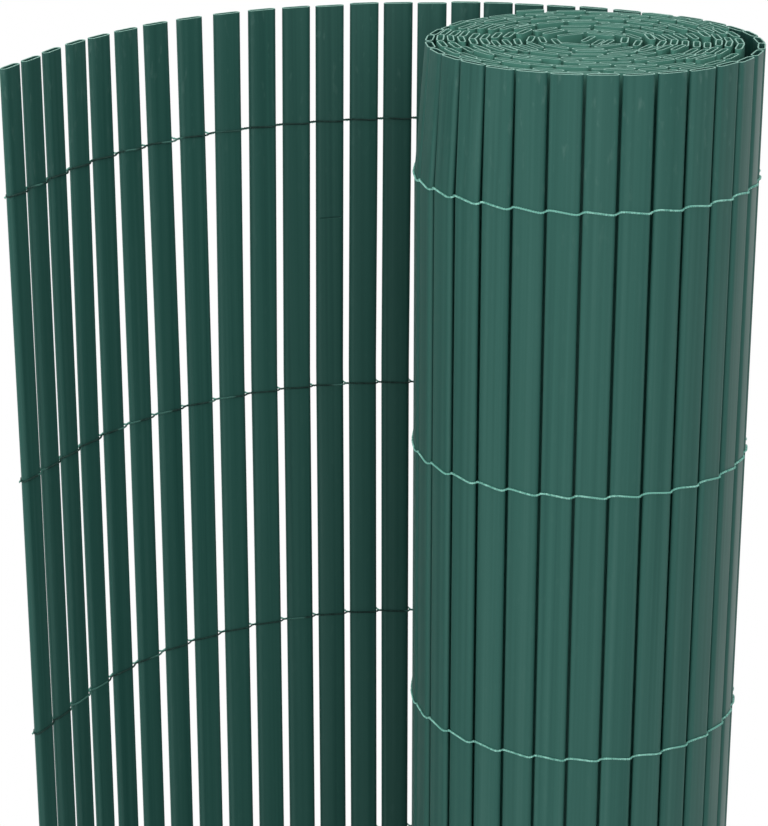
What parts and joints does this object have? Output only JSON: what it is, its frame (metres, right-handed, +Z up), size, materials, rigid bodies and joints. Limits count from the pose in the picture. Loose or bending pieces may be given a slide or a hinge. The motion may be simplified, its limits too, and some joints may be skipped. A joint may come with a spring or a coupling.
{
  "type": "pvc privacy screen",
  "caption": "Standing roll of hollow green plastic slats laced side by side in rows, its free end unrolled behind it as an upright screen panel.",
  "frame": {"origin": "on the floor under the middle of the whole screen's box", "axes": "+Z up along the slats, -Y towards the viewer of the picture, +X to the picture's right, where the roll is"},
  "size_m": [0.2952, 0.1574, 0.9],
  "materials": {
    "slat_pvc": "satin",
    "lacing_thread": "twisted thread"
  },
  "bodies": {
    "root": {"slat_01": "slat_pvc", "slat_02": "slat_pvc", "slat_03": "slat_pvc", "slat_04": "slat_pvc", "slat_05": "slat_pvc", "slat_06": "slat_pvc", "slat_07": "slat_pvc", "slat_08": "slat_pvc", "slat_09": "slat_pvc", "slat_10": "slat_pvc", "slat_11": "slat_pvc", "slat_12": "slat_pvc", "slat_13": "slat_pvc", "slat_14": "slat_pvc", "slat_15": "slat_pvc", "slat_16": "slat_pvc", "slat_17": "slat_pvc", "slat_18": "slat_pvc", "slat_19": "slat_pvc", "slat_20": "slat_pvc", "slat_21": "slat_pvc", "slat_22": "slat_pvc", "rolled_turn_01": "slat_pvc", "rolled_turn_02": "slat_pvc", "rolled_turn_03": "slat_pvc", "rolled_turn_04": "slat_pvc", "rolled_turn_05": "slat_pvc", "rolled_turn_06": "slat_pvc", "rolled_turn_07": "slat_pvc", "rolled_turn_08": "slat_pvc", "rolled_turn_09": "slat_pvc", "rolled_turn_10": "slat_pvc", "rolled_turn_11": "slat_pvc", "rolled_turn_12": "slat_pvc", "rolled_turn_13": "slat_pvc", "lacing_row_1": "lacing_thread", "lacing_row_2": "lacing_thread", "lacing_row_3": "lacing_thread", "lacing_row_4": "lacing_thread", "lacing_row_5": "lacing_thread", "lacing_row_6": "lacing_thread", "lacing_row_7": "lacing_thread", "lacing_row_8": "lacing_thread"}
  },
  "joints": []
}
